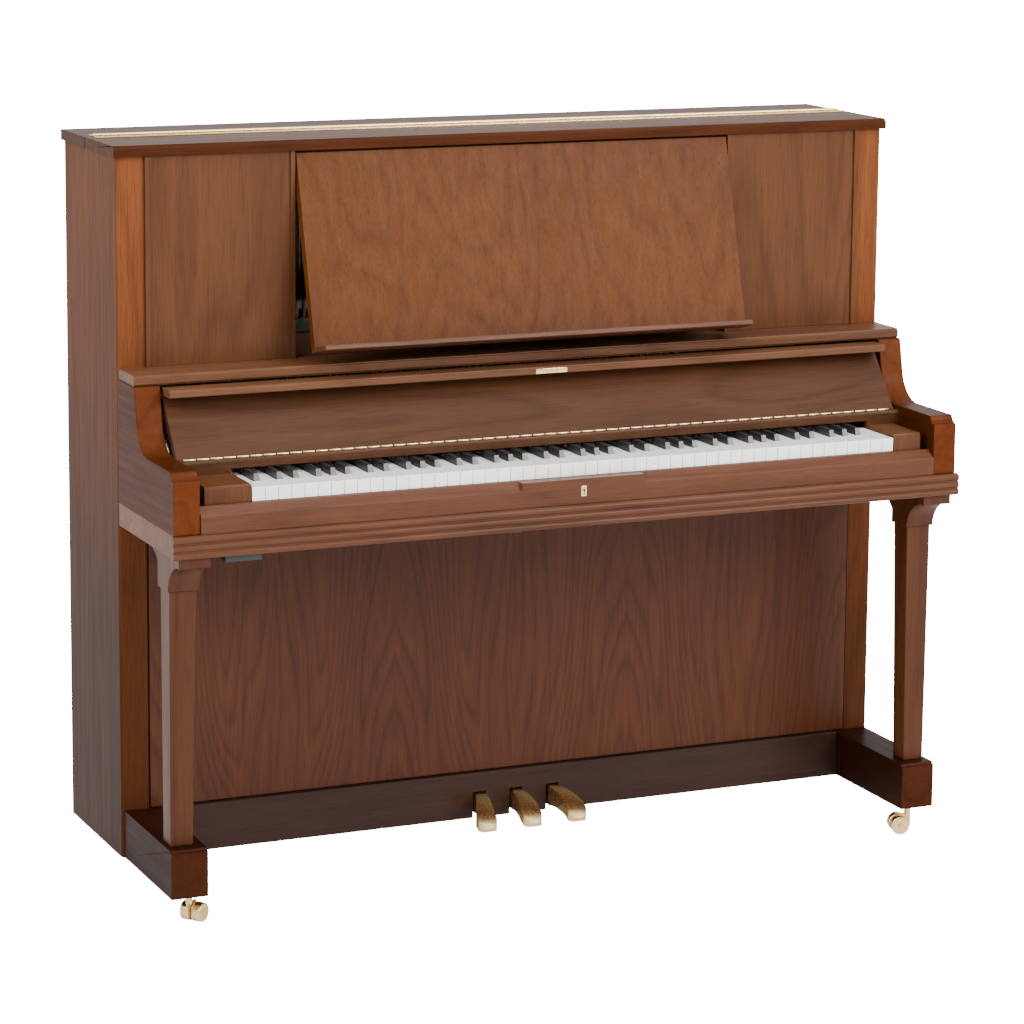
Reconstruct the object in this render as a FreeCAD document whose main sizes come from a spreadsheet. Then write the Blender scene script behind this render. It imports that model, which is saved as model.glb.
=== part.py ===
"""Upright piano with a folding fallboard, music desk, working keys, pedals and casters.

Frame: X to the player's right, Y to the back, Z up. The origin is on the floor under the
middle of the case. Everything is in millimetres.
"""
import math
import os
import re

import FreeCAD
import Part
import Sketcher

V = FreeCAD.Vector
doc = FreeCAD.newDocument("upright_piano")

# Driving dimensions. Heights are above the floor; depths run back from the case front.
SIZES = dict(
    # case
    case_width=1492, case_height=1310, case_front=3, lid_back=306, panel_back=300,
    side_board=30, stile_width=50, stile_depth=40, stile_round=6, case_bottom=51,
    lid_thick=19, lid_overhang=6, lid_lip=9, lid_split=158, lid_round=5, lid_gap=1,
    leaf_width=26, leaf_thick=1.2, leaf_inset=8, barrel_radius=2.5,
    fit_gap=0.5,
    # key bed and what stands on it
    bed_top=690, bed_thick=40, bed_front=299, bed_back=124,
    box_left=-652, box_width=65, box_inset=9, box_depth=60, box_height=13,
    moulding_front=312, moulding_overhang=4, reed_swell=1.1, reed_gap=1,
    arm_thick=46, arm_front=302, arm_top=796, arm_neck=93, arm_round=14, arm_cove=62,
    arm_shoulder=158,
    shelf_top=925, shelf_thick=18, shelf_front=87, shelf_back=40, shelf_round=3,
    slip_front=305, slip_thick=23.5, slip_back_top=735, slip_front_top=720,
    slip_raise=87, slip_run=30, slip_cove_depth=19,
    block_slot=15, block_front=279.5, block_top=765, block_back=179.5, block_round=3,
    # keyboard
    key_pitch=23.65, key_gap=1, key_front=279.5, key_top=759, key_thick=24,
    key_head=49, key_back=95, keyboard_shift=14, sharp_width=11, sharp_stick=10,
    sharp_clear=1.3, sharp_rise=12, sharp_drop=2, sharp_cap=60, sharp_slope=6,
    sharp_taper=1.2, sharp_shift=3, balance_point=65, rail_gap=1,
    balance_rail=16, front_rail=40, back_rail=30, key_dip=12,
    # fallboard, angles in degrees
    hinge_back=163, hinge_level=789, fall_length=128, fall_thick=13, fall_lean=38,
    fall_clear=6, lip_reach=44, lip_thick=13, lip_gap=0.4, strip_thick=12, strip_drop=16,
    strip_gap=1.5, hinge_gap=2, stay_radius=1.8, stay_length=72, stay_lean=50,
    stay_back=2, stay_drop=19,
    # upper panel and desk
    panel_thick=18, panel_proud=2, bead_width=8, bead_proud=4, desk_half=419, desk_gap=3,
    desk_top_gap=3, desk_foot=966, desk_thick=18, desk_lean=15.5, rail_height=40,
    rail_thick=20, ledge_forward=40, ledge_behind=18, ledge_proud=5, ledge_thick=9, ledge_half=425,
    ledge_taper=12, desk_pin=3,
    desk_pin_in=14, desk_pin_back=8, desk_pin_drop=11,
    # lower case
    toe_top=137, toe_bottom=52, toe_width=66, toe_inset=4, toe_front=263, toe_round=5,
    rail_front=14, toe_rail_thick=20, lower_proud=3, lower_thick=18, lower_gap=2,
    catch_middle=4, catch_width=24, catch_thick=3, catch_drop=70,
    board_bottom=58, board_thick=20,
    leg_top=582, leg_foot=40, leg_head=48, leg_centre=714, leg_centre_y=215,
    leg_embed_gap=0.2, plate_front=303, plate_thick=16, plate_over=8, cap_over=4, cap_foot=4, cap_cove=58,
    bracket_back=60, bracket_drop=32, bracket_edge=8, bracket_thick_x=30, bracket_cove=120,
    # pedals
    pedal_centre=5, pedal_spacing=73, pedal_pivot_y=70, pedal_pivot_z=94, pedal_bar=20,
    pedal_thick=9, pedal_neck=32, pedal_toe_width=37, pedal_toe=104, pedal_tail=142, pedal_drop=36,
    pedal_splay=16, pedal_pin=3.5, pin_clear=0.06, slot_clear=2.5,
    rod_radius=7, rod_top=829,
    # casters
    caster_x=703, caster_rear_x=640, caster_front_y=238, caster_rear_y=250, wheel_radius=17,
    wheel_width=18, wheel_gap=4, caster_trail=17, turn_left=-50, turn_right=75,
    axle_radius=3, horn_thick=3, stem_radius=6, caster_plate=3, caster_clear=0.6,
    # strung back and action
    post_front=225, post_width=62, beam_height=120, board_front=207, soundboard_thick=9,
    rib_width=14, rib_depth=8, plate_front_y=168, iron_thick=12, iron_below=38,
    iron_bottom=190, iron_window=150, iron_strut=26,
    bridge_gap=4, bridge_step=45, block_front_y=182, block_height=140,
    string_y=152, string_below=160, string_bottom=330, wire_radius=0.8,
    bass_radius=1.6, tuning_pin_radius=3.5, pin_row_gap=24, pin_proud=26,
    bracket_thick=10, bracket_feet_y=100, bracket_top=1010, main_rail_y=88,
    main_rail_z=868, hammer_y=93, hammer_z=1000, hammer_width=10, hammer_blow=44,
    hammer_pivot_z=882, hammer_rail_z=958, damper_z=940, damper_pivot_z=850,
    damper_y=132, muffler_z=1040, muffler_y=124,
)

sheet = doc.addObject("Spreadsheet::Sheet", "dims")
for row, (alias, value) in enumerate(SIZES.items(), start=1):
    sheet.set("A%d" % row, alias)
    sheet.set("B%d" % row, str(value))
    sheet.setAlias("B%d" % row, alias)
doc.recompute()


def bound(text):
    """The expression with every size's name read from the sheet."""
    return re.sub(r"[a-z_]+", lambda word: "dims." + word.group() if word.group() in SIZES
                  else word.group(), str(text))


def num(text):
    """What an expression comes to now, as a plain number."""
    value = sheet.evalExpression(bound(text))
    return float(getattr(value, "Value", value))


def neg(text):
    return "-(%s)" % text


NODES = []


def node(thing, name):
    """Marks a finished sub-part: its label names its file."""
    thing.Label = name
    NODES.append(thing)
    return thing


# ---------------------------------------------------------------- shapes bound to the sheet
def box(name, x, y, z):
    """A board between three pairs of planes, each pair given as expressions."""
    thing = doc.addObject("Part::Box", name)
    for prop, axis, (low, high) in zip(("Length", "Width", "Height"), "xyz", (x, y, z)):
        thing.setExpression(prop, bound("(%s) - (%s)" % (high, low)))
        thing.setExpression("Placement.Base." + axis, bound(low))
    return thing


TURNS = {"x": FreeCAD.Rotation(V(0, 1, 0), 90), "y": FreeCAD.Rotation(V(1, 0, 0), -90),
         "z": FreeCAD.Rotation()}


def rod(name, axis, centre, radius, length):
    """A round bar that starts at centre and runs along one axis."""
    thing = doc.addObject("Part::Cylinder", name)
    thing.setExpression("Radius", bound(radius))
    thing.setExpression("Height", bound(length))
    thing.Placement = FreeCAD.Placement(V(), TURNS[axis])
    for letter, place in zip("xyz", centre):
        thing.setExpression("Placement.Base." + letter, bound(place))
    return thing


def fuse(name, things):
    thing = doc.addObject("Part::MultiFuse", name)
    thing.Shapes = things
    return thing


def cut(name, base, tool):
    thing = doc.addObject("Part::Cut", name)
    thing.Base, thing.Tool = base, tool
    return thing


def group(name, things):
    """Several solids of one kind in one sub-part."""
    thing = doc.addObject("Part::Compound", name)
    thing.Links = things
    return thing


def new_body(name):
    body = doc.addObject("PartDesign::Body", name)
    body.AllowCompound = True
    return body


def origin_part(body, role):
    return [part for part in body.Origin.OriginFeatures if part.Role == role][0]


def sketch(body, plane, corners, offset=0):
    """A closed outline on an origin plane, moved off it along the plane's normal.

    Each corner is (x, y) or (x, y, radius, side). With a radius, the edge to the next corner
    is an arc that swells to the left (side 1) or the right (side -1) of the way it runs.
    """
    flat = body.newObject("Sketcher::SketchObject", body.Name + "_sketch")
    flat.AttachmentSupport = [(origin_part(body, plane + "_Plane"), "")]
    flat.MapMode = "FlatFace"
    flat.setExpression("AttachmentOffset.Base.z", bound(offset))
    points = [V(num(corner[0]), num(corner[1]), 0) for corner in corners]
    edges, radii = [], []
    for i, corner in enumerate(corners):
        start, end = points[i], points[(i + 1) % len(points)]
        if len(corner) == 2:
            edges.append(Part.LineSegment(start, end))
            continue
        radius, half = num(corner[2]), (end - start).Length / 2
        left = V(0, 0, 1).cross(end - start).normalize()
        rise = radius - math.sqrt(max(radius * radius - half * half, 0))
        edges.append(Part.Arc(start, (start + end) / 2 + left * (rise * corner[3]), end))
        radii.append((i, corner[2]))
    turned = flat.addGeometry(edges, False)
    ends = []
    for i in turned:
        swapped = (flat.getPoint(i, 1) - points[i]).Length > (flat.getPoint(i, 2)
                                                             - points[i]).Length
        ends.append((2, 1) if swapped else (1, 2))
    for i in turned:
        after = (i + 1) % len(turned)
        flat.addConstraint(Sketcher.Constraint("Coincident", i, ends[i][1], after,
                                               ends[after][0]))
    for i, corner in enumerate(corners):
        for kind, text, value in (("DistanceX", corner[0], points[i].x),
                                  ("DistanceY", corner[1], points[i].y)):
            which = flat.addConstraint(Sketcher.Constraint(kind, i, ends[i][0], value))
            flat.setExpression("Constraints[%d]" % which, bound(text))
    for i, text in radii:
        which = flat.addConstraint(Sketcher.Constraint("Radius", i, num(text)))
        flat.setExpression("Constraints[%d]" % which, bound(text))
    return flat


def pad(body, plane, corners, length, offset=0, middle=False):
    """Pads an outline off its plane, or both ways from it."""
    feature = body.newObject("PartDesign::Pad", body.Name + "_pad")
    feature.Profile = sketch(body, plane, corners, offset)
    feature.setExpression("Length", bound(length))
    feature.Midplane = middle
    return feature


def pocket(body, plane, corners, length, offset=0, middle=False, backwards=False):
    """Cuts an outline out of the body, and makes sure that it took something away."""
    doc.recompute()
    before = body.Shape.Volume
    feature = body.newObject("PartDesign::Pocket", body.Name + "_pocket")
    feature.Profile = sketch(body, plane, corners, offset)
    feature.setExpression("Length", bound(length))
    feature.Midplane = middle
    feature.Reversed = backwards
    doc.recompute()
    if body.Shape.Volume >= before - 1:
        raise ValueError("the pocket in %s cuts nothing" % body.Label)
    return feature


def loft(body, sections):
    """Lofts between two outlines, each (plane, corners, offset)."""
    flats = [sketch(body, *section) for section in sections]
    feature = body.newObject("PartDesign::AdditiveLoft", body.Name + "_loft")
    feature.Profile = flats[0]
    feature.Sections = [(flat, [""]) for flat in flats[1:]]
    return feature


def along_x(body, features, spacing, count):
    """Repeats features along X."""
    pattern = body.newObject("PartDesign::LinearPattern", body.Name + "_pattern")
    pattern.Originals = features
    pattern.Direction = (origin_part(body, "X_Axis"), [""])
    pattern.Mode = "Spacing"
    pattern.setExpression("Offset", bound(spacing))
    pattern.Occurrences = count
    body.Tip = pattern
    return pattern


def rectangle(x, y):
    """The corners of a rectangle from its two pairs of sides."""
    return [(x[0], y[0]), (x[1], y[0]), (x[1], y[1]), (x[0], y[1])]


def back(depth):
    """Where a depth behind the case front lies on Y."""
    return "case_front + (%s)" % depth


def fore(depth):
    """Where a distance in front of the case front lies on Y."""
    return "case_front - (%s)" % depth


def side_span(sign, inner, outer):
    """A pair of X planes on the left (-1) or right (1), lowest first."""
    return (inner, outer) if sign > 0 else (neg(outer), neg(inner))


SIDES = (("left", -1), ("right", 1))
HALF = "case_width / 2"
INSIDE = "(case_width / 2 - stile_width - fit_gap)"
BED_BOTTOM = "(bed_top - bed_thick)"
SHELF_BOTTOM = "(shelf_top - shelf_thick)"
LID_BOTTOM = "(case_height - lid_thick)"
DESK_LENGTH = "(case_height - desk_foot)"
IRON_TOP = "(case_height - iron_below)"
STRING_TOP = "(case_height - string_below)"


# ---------------------------------------------------------------- case
def side_panels():
    """Tall side boards, each with a wider rounded stile at its front edge."""
    for name, sign in SIDES:
        body = new_body("side_%s" % name)

        def at(distance_in):
            return "%d * (%s - (%s))" % (sign, HALF, distance_in)

        outline = [
            (at(0), back("panel_back")), (at("side_board"), back("panel_back")),
            (at("side_board"), back("stile_depth")), (at("stile_width"), back("stile_depth")),
            (at("stile_width"), back(0)), (at("stile_round"), back(0), "stile_round", sign),
            (at(0), back("stile_round"))]
        if sign > 0:
            outline[5] = (at("stile_round"), back(0), "stile_round", -1)
        else:
            outline[5] = (at("stile_round"), back(0), "stile_round", 1)
        pad(body, "XY", outline, LID_BOTTOM + " - case_bottom - lid_gap", "case_bottom")
        node(body, "side_panel_%s" % name)


def lid():
    """Two boards that meet at a long brass hinge; the front one folds back."""
    edge = HALF + " + lid_overhang"
    rear = box("rear_lid", (neg(edge), edge), (back("lid_split + fit_gap"), back("lid_back")),
               (LID_BOTTOM, "case_height"))
    node(rear, "lid_rear")
    front = new_body("front_lid")
    low, high, nose = LID_BOTTOM, "case_height", fore("lid_lip")
    pad(front, "YZ", [
        (back("lid_split"), low), (nose, low), (nose, high + " - lid_round", "lid_round", -1),
        (nose + " + lid_round", high), (back("lid_split"), high)], "2 * (%s)" % edge,
        middle=True)
    length = "case_width - 20"
    span = ("-(case_width / 2 - leaf_inset)", "case_width / 2 - leaf_inset")
    flat = ("case_height", "case_height + leaf_thick")
    pin_level = "case_height + barrel_radius + fit_gap"
    turning_leaf = box("lid_front_leaf", span, (back("lid_split - leaf_width"),
                       back("lid_split - barrel_radius - fit_gap")), flat)
    node(group("lid_front_set", [front, turning_leaf]), "lid_front")
    leaf = box("lid_rear_leaf", span, (back("lid_split + barrel_radius - 1"),
               back("lid_split + leaf_width")), flat)
    web = box("lid_leaf_edge", span, (back("lid_split + barrel_radius - 1"),
              back("lid_split + barrel_radius")), ("case_height", pin_level))
    barrel = rod("lid_barrel", "x", (span[0], back("lid_split"), pin_level),
                 "barrel_radius", "2 * (%s)" % span[1])
    node(fuse("lid_hinge_solid", [leaf, web, barrel]), "lid_hinge")


def back_frame():
    """Five posts between a top and a bottom beam, behind the soundboard."""
    wide = HALF + " - side_board - fit_gap"
    depth = (back("post_front"), back("panel_back"))
    clear = "((2 * (%s) - 5 * post_width) / 4)" % wide
    low, high = "case_bottom + beam_height", LID_BOTTOM + " - lid_gap - beam_height"
    members = [box("bottom_beam", (neg(wide), wide), depth, ("case_bottom", low)),
               box("top_beam", (neg(wide), wide), depth, (high, high + " + beam_height"))]
    for i in range(5):
        left = "%s + %d * (post_width + %s)" % (neg(wide), i, clear)
        members.append(box("post_%d" % i, (left, left + " + post_width"), depth, (low, high)))
    node(group("post_set", members), "back_frame")


def lower_case():
    """Bottom board, toe rail notched for the pedals, lower panel and toe blocks."""
    wide = HALF + " - side_board - fit_gap"
    board = box("floor_board", (neg(wide), wide),
                (back("stile_depth + fit_gap"), back("post_front - fit_gap")),
                ("board_bottom", "board_bottom + board_thick"))
    node(group("floor_set", [board, fuse("pin_set", pedal_pins())]), "bottom_board")
    inner = HALF + " - toe_inset - toe_width - fit_gap"
    rail = box("rail_board", (neg(inner), inner), (fore("rail_front"),
               fore("rail_front - toe_rail_thick")), ("toe_bottom", "toe_top"))
    slots = []
    for i, middle in enumerate(pedal_places()):
        half = "pedal_bar / 2 + slot_clear"
        slots.append(box("pedal_slot_%d" % i, (middle + " - (%s)" % half,
                     middle + " + " + half), (fore("rail_front + 1"),
                     fore("rail_front - toe_rail_thick - 1")),
                     ("toe_bottom - 1", "pedal_pivot_z + pedal_thick / 2 + slot_clear")))
    node(cut("slotted_rail", rail, fuse("pedal_slots", slots)), "toe_rail")
    panel_wide = INSIDE + " - lower_gap"
    knee = box("knee_board", (neg(panel_wide), panel_wide),
               (fore("lower_proud"), fore("lower_proud - lower_thick")),
               ("toe_top + lower_gap", BED_BOTTOM + " - lower_gap"))
    catch = box("catch_tongue", ("catch_middle - catch_width / 2",
                                 "catch_middle + catch_width / 2"),
                (fore("lower_proud + catch_thick"), fore("lower_proud")),
                (BED_BOTTOM + " - lower_gap - catch_drop", BED_BOTTOM + " - lower_gap"))
    node(group("knee_set", [knee, catch]), "lower_panel")
    for name, sign in SIDES:
        body = new_body("toe_%s" % name)
        nose = fore("toe_front")
        pad(body, "YZ", [
            (back(0), "toe_bottom"), (nose, "toe_bottom"),
            (nose, "toe_top - toe_round", "toe_round", -1), (nose + " + toe_round", "toe_top"),
            (back(0), "toe_top")], "toe_width",
            "%d * (%s - toe_inset - toe_width / 2)" % (sign, HALF), middle=True)
        node(body, "toe_block_%s" % name)


def legs():
    """A square tapered leg under a capital, with a curved bracket behind it."""
    for name, sign in SIDES:
        leg = new_body("leg_%s_post" % name)
        middle = "%d * leg_centre" % sign
        outer = "%d * (leg_centre + leg_foot / 2)" % sign

        def square(size):
            inner = "%s - %d * (%s)" % (outer, sign, size)
            front = "case_front - leg_centre_y - (%s) / 2" % size
            xs = (inner, outer) if sign > 0 else (outer, inner)
            return rectangle(xs, (front, "%s + %s" % (front, size)))

        loft(leg, [("XY", square("leg_foot"), "toe_top"), ("XY", square("leg_head"),
                                                         "leg_top - leg_embed_gap")])
        leg_front = "(case_front - leg_centre_y - leg_head / 2)"
        leg_back = "(case_front - leg_centre_y + leg_head / 2)"
        across = "%s - %d * (leg_head - leg_foot) / 2" % (middle, sign)
        head = new_body("leg_%s_capital" % name)
        nose, plate = fore("plate_front"), BED_BOTTOM + " - plate_thick"
        cap_front, cap_back = leg_front + " - cap_over", leg_back + " + cap_over"
        pad(head, "YZ", [
            (cap_back, BED_BOTTOM), (nose, BED_BOTTOM), (nose, plate),
            (nose + " + plate_over", plate, "cap_cove", 1),
            (cap_front, "leg_top + cap_foot"), (cap_front, "leg_top"),
            (cap_back, "leg_top")], "leg_head + 2 * cap_over", across, middle=True)
        bracket = new_body("leg_%s_bracket" % name)
        post_side, cap_side = leg_back + " + fit_gap", cap_back + " + fit_gap"
        tail, high = fore("bracket_back"), BED_BOTTOM + " - leg_embed_gap"
        pad(bracket, "YZ", [
            (post_side, "leg_top - bracket_drop", "bracket_cove", 1),
            (tail, BED_BOTTOM + " - bracket_edge"), (tail, high), (cap_side, high),
            (cap_side, "leg_top - fit_gap"), (post_side, "leg_top - fit_gap")],
            "bracket_thick_x", across, middle=True)
        node(group("leg_%s_set" % name, [leg, head, bracket]), "leg_%s" % name)


# ---------------------------------------------------------------- key bed level
def key_bed():
    """The slab under the keys: full width in front of the sides, narrower between them."""
    body = new_body("bed")
    wide, slim, nose = HALF, INSIDE, fore("bed_front")
    pad(body, "XY", [
        (neg(wide), nose), (wide, nose), (wide, back("-fit_gap")), (slim, back("-fit_gap")),
        (slim, back("bed_back")), (neg(slim), back("bed_back")), (neg(slim),
                                                                back("-fit_gap")),
        (neg(wide), back("-fit_gap"))], "bed_thick", BED_BOTTOM)
    case = box("bed_box", ("box_left", "box_left + box_width"),
               (fore("bed_front - box_inset"), fore("bed_front - box_inset - box_depth")),
               (BED_BOTTOM + " - box_height", BED_BOTTOM))
    node(group("bed_set", [body, case]), "key_bed")


def moulding():
    """A strip with round reeds one above another, across the front of the key bed."""
    body = new_body("reeds")
    half_reed = "(bed_thick / 6 - reed_gap)"
    curve = "%s * reed_swell" % half_reed
    rise = "%s * (reed_swell - sqrt(reed_swell^2 - 1))" % half_reed
    nose, root = fore("moulding_front - (%s)" % rise), fore("bed_front + fit_gap / 5")
    pitch = "(bed_thick / 3)"
    corners = [(root, "bed_top"), (root, BED_BOTTOM)]
    for i in range(3):
        low = "%s + %d * %s" % (BED_BOTTOM, i, pitch)
        corners.append((nose, low + " + reed_gap", curve, 1))
        corners.append((nose, "%s + %s - reed_gap" % (low, pitch)))
    corners.append((nose, "bed_top"))
    pad(body, "YZ", corners, "case_width + 2 * moulding_overhang", middle=True)
    node(body, "keybed_moulding")


def arms():
    """S-shaped arms that stand on the key bed and carry the music shelf."""
    nose, top = fore("arm_front"), "arm_top"
    for name, sign in SIDES:
        body = new_body("arm_%s_board" % name)
        middle = "%d * (%s - arm_thick / 2)" % (sign, HALF)
        pad(body, "YZ", [
            (fore("fit_gap"), "bed_top"), (nose, "bed_top"),
            (nose, top + " - arm_round", "arm_round", -1), (nose + " + arm_round", top),
            (fore("arm_shoulder"), top, "arm_cove", -1),
            (fore("arm_neck + 13"), top + " + 50"), (fore("arm_neck"), SHELF_BOTTOM),
            (fore("fit_gap"), SHELF_BOTTOM)], "arm_thick", middle, middle=True)
        node(body, "arm_%s" % name)


def key_slip():
    """The rail in front of the keys: its top is chamfered except at the middle."""
    body = new_body("slip")
    wide = HALF + " - arm_thick - fit_gap"
    nose, rear = fore("slip_front"), fore("slip_front - slip_thick")
    pad(body, "YZ", rectangle((nose, rear), ("bed_top", "slip_back_top")),
        "2 * (%s)" % wide, middle=True)
    wedge = [(nose + " - 1", "slip_front_top"),
             (nose + " + slip_cove_depth", "slip_back_top"),
             (nose + " + slip_cove_depth", "slip_back_top + 1"),
             (nose + " - 1", "slip_back_top + 1")]
    for sign in (-1, 1):
        length = "%s - slip_raise - slip_run + 1" % wide
        start = "%d * (slip_raise + slip_run + (%s) / 2)" % (sign, length)
        pocket(body, "YZ", wedge, length, start, middle=True)
    plate = box("keyhole_plate", ("-5", "5"), (fore("slip_front + 0.8"), nose),
                ("bed_top + 14", "bed_top + 32"))
    node(group("slip_set", [body, plate]), "key_slip")


def keyboard_edge(sign):
    """Where the keyboard's left (-1) or right (1) end is on X."""
    return "keyboard_shift + %d * 26 * key_pitch" % sign


def key_blocks():
    """The two blocks at the ends of the keyboard."""
    blocks = []
    for name, sign in SIDES:
        body = new_body("block_%s" % name)
        outer = "%d * (%s - arm_thick - block_slot)" % (sign, HALF)
        inner = keyboard_edge(sign) + " + %d * fit_gap" % (2 * sign)
        nose, top = fore("block_front"), "block_top"
        pad(body, "YZ", [
            (fore("block_back"), "bed_top"), (nose, "bed_top"),
            (nose, top + " - block_round", "block_round", -1), (nose + " + block_round", top),
            (fore("block_back"), top)],
            "abs(%s - (%s))" % (outer, inner), "((%s) + %s) / 2" % (inner, outer),
            middle=True)
        blocks.append(body)
    node(group("block_set", blocks), "key_blocks")


def music_shelf():
    """The shelf over the fallboard, with a rounded nose."""
    body = new_body("shelf")
    nose, low, high = fore("shelf_front"), SHELF_BOTTOM, "shelf_top"
    pad(body, "YZ", [
        (back("-fit_gap"), low), (nose + " + shelf_round", low, "shelf_round", -1),
        (nose, low + " + shelf_round"), (nose, high + " - shelf_round", "shelf_round", -1),
        (nose + " + shelf_round", high), (back("-fit_gap"), high)],
        "case_width - 4", middle=True)
    pad(body, "XY", rectangle((neg(INSIDE), INSIDE), (back("-fit_gap - 1"),
                                                     back("shelf_back"))),
        "shelf_thick", SHELF_BOTTOM)
    node(body, "music_shelf")


# ---------------------------------------------------------------- keys
LETTERS = "c c_sharp d d_sharp e f f_sharp g g_sharp a a_sharp b".split()
STEP = {"c": 0, "d": 1, "e": 2, "f": 3, "g": 4, "a": 5, "b": 6}
LEAN = {"c": -1, "d": 1, "f": -1, "g": 0, "a": 1}
LOWEST = ("a", "a_sharp", "b")


def sharp_middle(letter, octave_start):
    """The middle of the sharp above a letter, on X."""
    return "%s + %d * key_pitch + %d * sharp_shift" % (octave_start, STEP[letter] + 1,
                                                       LEAN[letter])


def first_octave(letter):
    """Where the octave of a letter's lowest key begins, and how many such keys there are."""
    lowest = letter in LOWEST
    start = "keyboard_shift - 26 * key_pitch - 5 * key_pitch"
    if not lowest:
        start += " + 7 * key_pitch"
    return start, 8 if lowest or letter == "c" else 7


def natural_key(letter):
    """White keys of one name: a wide head, and a tail that passes between the sharps."""
    start, count = first_octave(letter)
    body = new_body("key_%s_body" % letter)
    order = "cdefgab"
    left = "%s + %d * key_pitch + key_gap / 2" % (start, STEP[letter])
    right = left + " + key_pitch - key_gap"
    before, after = order[order.index(letter) - 1], letter
    keep = "sharp_width / 2 + sharp_clear"
    nose, head, rear = fore("key_front"), fore("key_front - key_head"), back("key_back")
    corners = [(left, nose), (right, nose)]
    if after in LEAN:
        tail = sharp_middle(after, start) + " - (%s)" % keep
        corners += [(right, head), (tail, head), (tail, rear)]
    else:
        corners += [(right, rear)]
    if before in LEAN:
        tail = sharp_middle(before, start) + " + " + keep
        corners += [(tail, rear), (tail, head), (left, head)]
    else:
        corners += [(left, rear)]
    wood = pad(body, "XY", corners, "key_thick", "key_top - key_thick")
    along_x(body, [wood], "7 * key_pitch", count)
    ends = {"a": (left, sharp_middle("g", start) + " + %s + 1" % keep),
            "c": (sharp_middle("c", start) + " - (%s) - 1 + 49 * key_pitch" % keep,
                  right + " + 49 * key_pitch")}
    if letter in ends:
        filler = pad(body, "XY", rectangle(ends[letter], (head + " - 1",
                     fore("block_back - strip_thick"))), "key_thick",
                     "key_top - key_thick")
        body.Tip = filler
    node(body, "key_%s" % letter)


def sharp_key(letter):
    """Black keys of one name: a plain stick with a tapered cap on it."""
    natural = letter[0]
    start, count = first_octave(letter)
    body = new_body("key_%s_body" % letter)
    middle = sharp_middle(natural, start)
    nose = fore("key_front - key_head") + " + sharp_clear"
    stick = pad(body, "XY", rectangle(
        (middle + " - sharp_stick / 2", middle + " + sharp_stick / 2"),
        (nose, back("key_back"))), "key_thick - sharp_drop", "key_top - key_thick")
    foot = rectangle((middle + " - sharp_width / 2", middle + " + sharp_width / 2"),
                     (nose, nose + " + sharp_cap"))
    crown = rectangle((middle + " - sharp_width / 2 + sharp_taper",
                       middle + " + sharp_width / 2 - sharp_taper"),
                      (nose + " + sharp_slope", nose + " + sharp_cap"))
    cap = loft(body, [("XY", foot, "key_top - sharp_drop"),
                      ("XY", crown, "key_top + sharp_rise")])
    along_x(body, [stick, cap], "7 * key_pitch", count)
    node(body, "key_%s" % letter)


def keys():
    for letter in LETTERS:
        if "sharp" in letter:
            sharp_key(letter)
        else:
            natural_key(letter)


def key_frame():
    """Three rails under the keys; the keys rock on the middle one."""
    wide = "26 * key_pitch"
    span = ("keyboard_shift - " + wide, "keyboard_shift + " + wide)
    under = "key_top - key_thick"
    front = box("front_rail_bar", span, (fore("key_front - 12"), fore(
        "key_front - 12 - front_rail")), ("bed_top", under + " - key_dip"))
    middle = box("balance_rail_bar", span, (fore("balance_point + balance_rail / 2"), fore(
        "balance_point - balance_rail / 2")), ("bed_top", under + " - rail_gap"))
    rear = box("back_rail_bar", span, (back("key_back - back_rail"), back("key_back")),
               ("bed_top", under + " - rail_gap / 2"))
    node(group("rail_set", [front, middle, rear]), "key_frame")


# ---------------------------------------------------------------- fallboard
def along(distance, angle, square_off="0"):
    """A point on the leaning fallboard as (y, z), from its hinge line.

    distance runs up the board's face and square_off away from the player.
    """
    return ("case_front - hinge_back + (%s) * sin(%s * 1deg) + (%s) * cos(%s * 1deg)" % (
                distance, angle, square_off, angle),
            "hinge_level + (%s) * cos(%s * 1deg) - (%s) * sin(%s * 1deg)" % (
                distance, angle, square_off, angle))


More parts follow.
